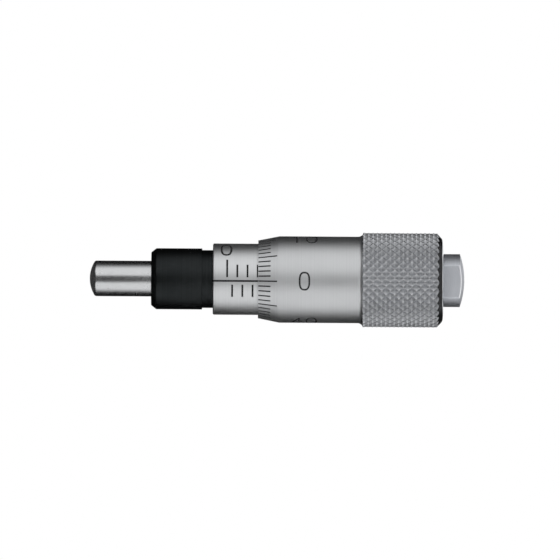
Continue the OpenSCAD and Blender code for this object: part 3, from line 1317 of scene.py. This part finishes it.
@dataclass(frozen=True)
class Flag:
    """A dark flag with two soft edges, in millimetres.

    The soft edges lie at start and stop on one axis. A slant leans them by the distance from a place on
    another axis.
    """

    name: str
    middle: Place
    half: Place
    edge: Axis
    start: float
    stop: float
    soft: float
    level: float
    slant: float = 0.0
    slant_along: Axis = Axis.ALONG
    slant_from: float = 9.0

    def make(self) -> bpy.types.Material:
        """Build the flag's material, which fades out towards its soft edges."""
        material = bpy.data.materials.new(self.name)
        material.use_nodes = True
        tools = NodeTools(material.node_tree)
        glow = tools.add("ShaderNodeEmission")
        glow.inputs["Color"].default_value = (self.level, self.level, self.level, 1)
        axes = tools.split_place()
        aside = tools.calc("SUBTRACT", axes[self.slant_along.value], self.slant_from * MM)
        lean = tools.calc("MULTIPLY", tools.calc("ABSOLUTE", aside), self.slant)
        place = tools.calc("ADD", axes[self.edge.value], lean)
        cover = tools.calc(
            "MULTIPLY",
            tools.span(place, self.start * MM, (self.start + self.soft) * MM, 0.0, 1.0),
            tools.span(place, (self.stop - self.soft) * MM, self.stop * MM, 1.0, 0.0),
        )
        mix = tools.add("ShaderNodeMixShader")
        clear = tools.add("ShaderNodeBsdfTransparent")
        tools.join(cover, mix.inputs[0])
        tools.join(clear.outputs[0], mix.inputs[1])
        tools.join(glow.outputs[0], mix.inputs[2])
        tools.join(mix.outputs[0], material.node_tree.nodes["Material Output"].inputs["Surface"])
        material.cycles.emission_sampling = "NONE"
        return material


@dataclass
class Studio:
    """Pale floor, even white light, dark flags for the reflections, and the camera.

    Places and sizes are in millimetres, angles in degrees.
    """

    FLAGS = (
        Flag("flag_front", (30, -200, 0), (90, 0, 90), Axis.UP, -78, 78, soft=50, level=0.32),
        Flag("flag_front_left", (-28, -30, 0), (20, 0, 20), Axis.UP, -15, 15, soft=10, level=0.06),
        Flag(
            "flag_top", (33, 260, 40), (96, 340, 0), Axis.BACK, -10, 580, soft=38, level=0.01,
            slant=0.33,
        ),
        Flag(
            "flag_bottom", (33, 260, -40), (96, 340, 0), Axis.BACK, -12, 580, soft=38, level=0.01,
            slant=0.33,
        ),
        Flag("flag_left", (-63, 140, 0), (0, 250, 40), Axis.BACK, -110, 390, soft=10, level=0.05),
        Flag(
            "flag_right", (77, 18, 0), (0, 81, 40), Axis.BACK, -63, 32, soft=10, level=0.04,
            slant=-1.0, slant_along=Axis.UP, slant_from=0.0,
        ),
    )

    target: Place = (6.6, 0.0, -0.05)
    frame_width: float = 55.06
    lens: float = 1000.0
    sensor: float = 36.0
    elevation: float = 2.8
    roll: float = 0.37
    nearest: float = 10.0
    farthest: float = 10000.0
    floor_level: float = -62.0
    floor_size: tuple[float, float] = (600.0, 360.0)
    floor_back: float = -80.0
    floor_dark: Tint = (0.965, 0.965, 0.965)
    floor_light: Tint = (0.985, 0.985, 0.985)
    floor_rough: float = 0.9
    floor_cloud_scale: float = 60.0
    floor_cloud_detail: float = 2.0
    flag_half_thickness: float = 0.5

    def build(self) -> None:
        """Set the light, the stage and the camera."""
        self.light()
        self.floor()
        for plan in self.FLAGS:
            self.flag(plan)
        self.camera()

    def light(self) -> None:
        """Light the scene evenly with a white world of strength 1."""
        world = bpy.data.worlds.new("even_white")
        bpy.context.scene.world = world
        world.use_nodes = True
        background = world.node_tree.nodes["Background"]
        background.inputs["Color"].default_value = (1, 1, 1, 1)
        background.inputs["Strength"].default_value = 1.0
        world.cycles.sampling_method = "NONE"
        bpy.context.scene.view_settings.view_transform = "Standard"

    def floor(self) -> None:
        """Lay a plain pale floor below the head."""
        clear_bench()
        bpy.ops.mesh.primitive_plane_add(size=1, location=(0, 0, 0))
        floor = bpy.context.object
        floor.name = "floor"
        bpy.ops.object.mode_set(mode="EDIT")
        bpy.ops.transform.resize(value=(self.floor_size[0] * MM, self.floor_size[1] * MM, 1))
        bpy.ops.transform.translate(value=(self.target[0] * MM, self.floor_back * MM, self.floor_level * MM))
        clear_bench()
        material = bpy.data.materials.new("pale_floor")
        material.use_nodes = True
        tools = NodeTools(material.node_tree)
        shader = material.node_tree.nodes["Principled BSDF"]
        shader.inputs["Roughness"].default_value = self.floor_rough
        shader.inputs["Specular IOR Level"].default_value = 0.0
        cloud = tools.noise(self.floor_cloud_scale, self.floor_cloud_detail)
        tools.join(tools.blend(cloud, self.floor_dark, self.floor_light), shader.inputs["Base Color"])
        floor.data.materials.append(material)

    def flag(self, plan: Flag) -> None:
        """Hang a dark flag that only reflections see.

        Args:
            plan: Its place, edges and brightness.
        """
        clear_bench()
        bpy.ops.mesh.primitive_cube_add(size=2, location=(0, 0, 0))
        flag = bpy.context.object
        flag.name = plan.name
        bpy.ops.object.mode_set(mode="EDIT")
        bpy.ops.transform.resize(value=[max(size, self.flag_half_thickness) * MM for size in plan.half])
        bpy.ops.transform.translate(value=[place * MM for place in plan.middle])
        clear_bench()
        flag.data.materials.append(plan.make())
        flag.visible_camera = False
        flag.visible_diffuse = False
        flag.visible_transmission = False
        flag.visible_shadow = False

    def camera(self) -> None:
        """Stand the camera in front of the index line with a long lens."""
        data = bpy.data.cameras.new("camera")
        data.lens = self.lens
        data.sensor_width = self.sensor
        data.clip_start = self.nearest * MM
        data.clip_end = self.farthest * MM
        camera = bpy.data.objects.new("camera", data)
        bpy.context.scene.collection.objects.link(camera)
        lift = math.radians(self.elevation)
        back = Vector((0, -math.cos(lift), math.sin(lift)))
        distance = self.frame_width * self.lens / self.sensor * MM
        camera.location = Vector(self.target) * MM + back * distance
        look = (-back).to_track_quat("-Z", "Y").to_matrix().to_4x4()
        camera.rotation_euler = (look @ Matrix.Rotation(math.radians(self.roll), 4, "Z")).to_euler()
        bpy.context.scene.camera = camera


def dress_nut(finishes: Finishes) -> None:
    """Give the ring nut, which stays as its own solid inside the thimble, its finish."""
    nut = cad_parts["adjusting_nut"]
    nut.data.materials.clear()
    nut.data.materials.append(finishes.nut)
    LOG.info("adjusting_nut: its own solid, hidden in the thimble")


def main() -> None:
    """Build every piece of the head and then the studio."""
    logging.basicConfig(level=logging.INFO, format="%(name)s: %(message)s")
    finishes = Finishes()
    Spindle().build(finishes)
    Stem().build(finishes)
    GraduatedSleeve().build(finishes)
    Thimble().build(finishes)
    CapScrew().build(finishes)
    dress_nut(finishes)
    Studio().build()


if __name__ == "__main__":
    main()
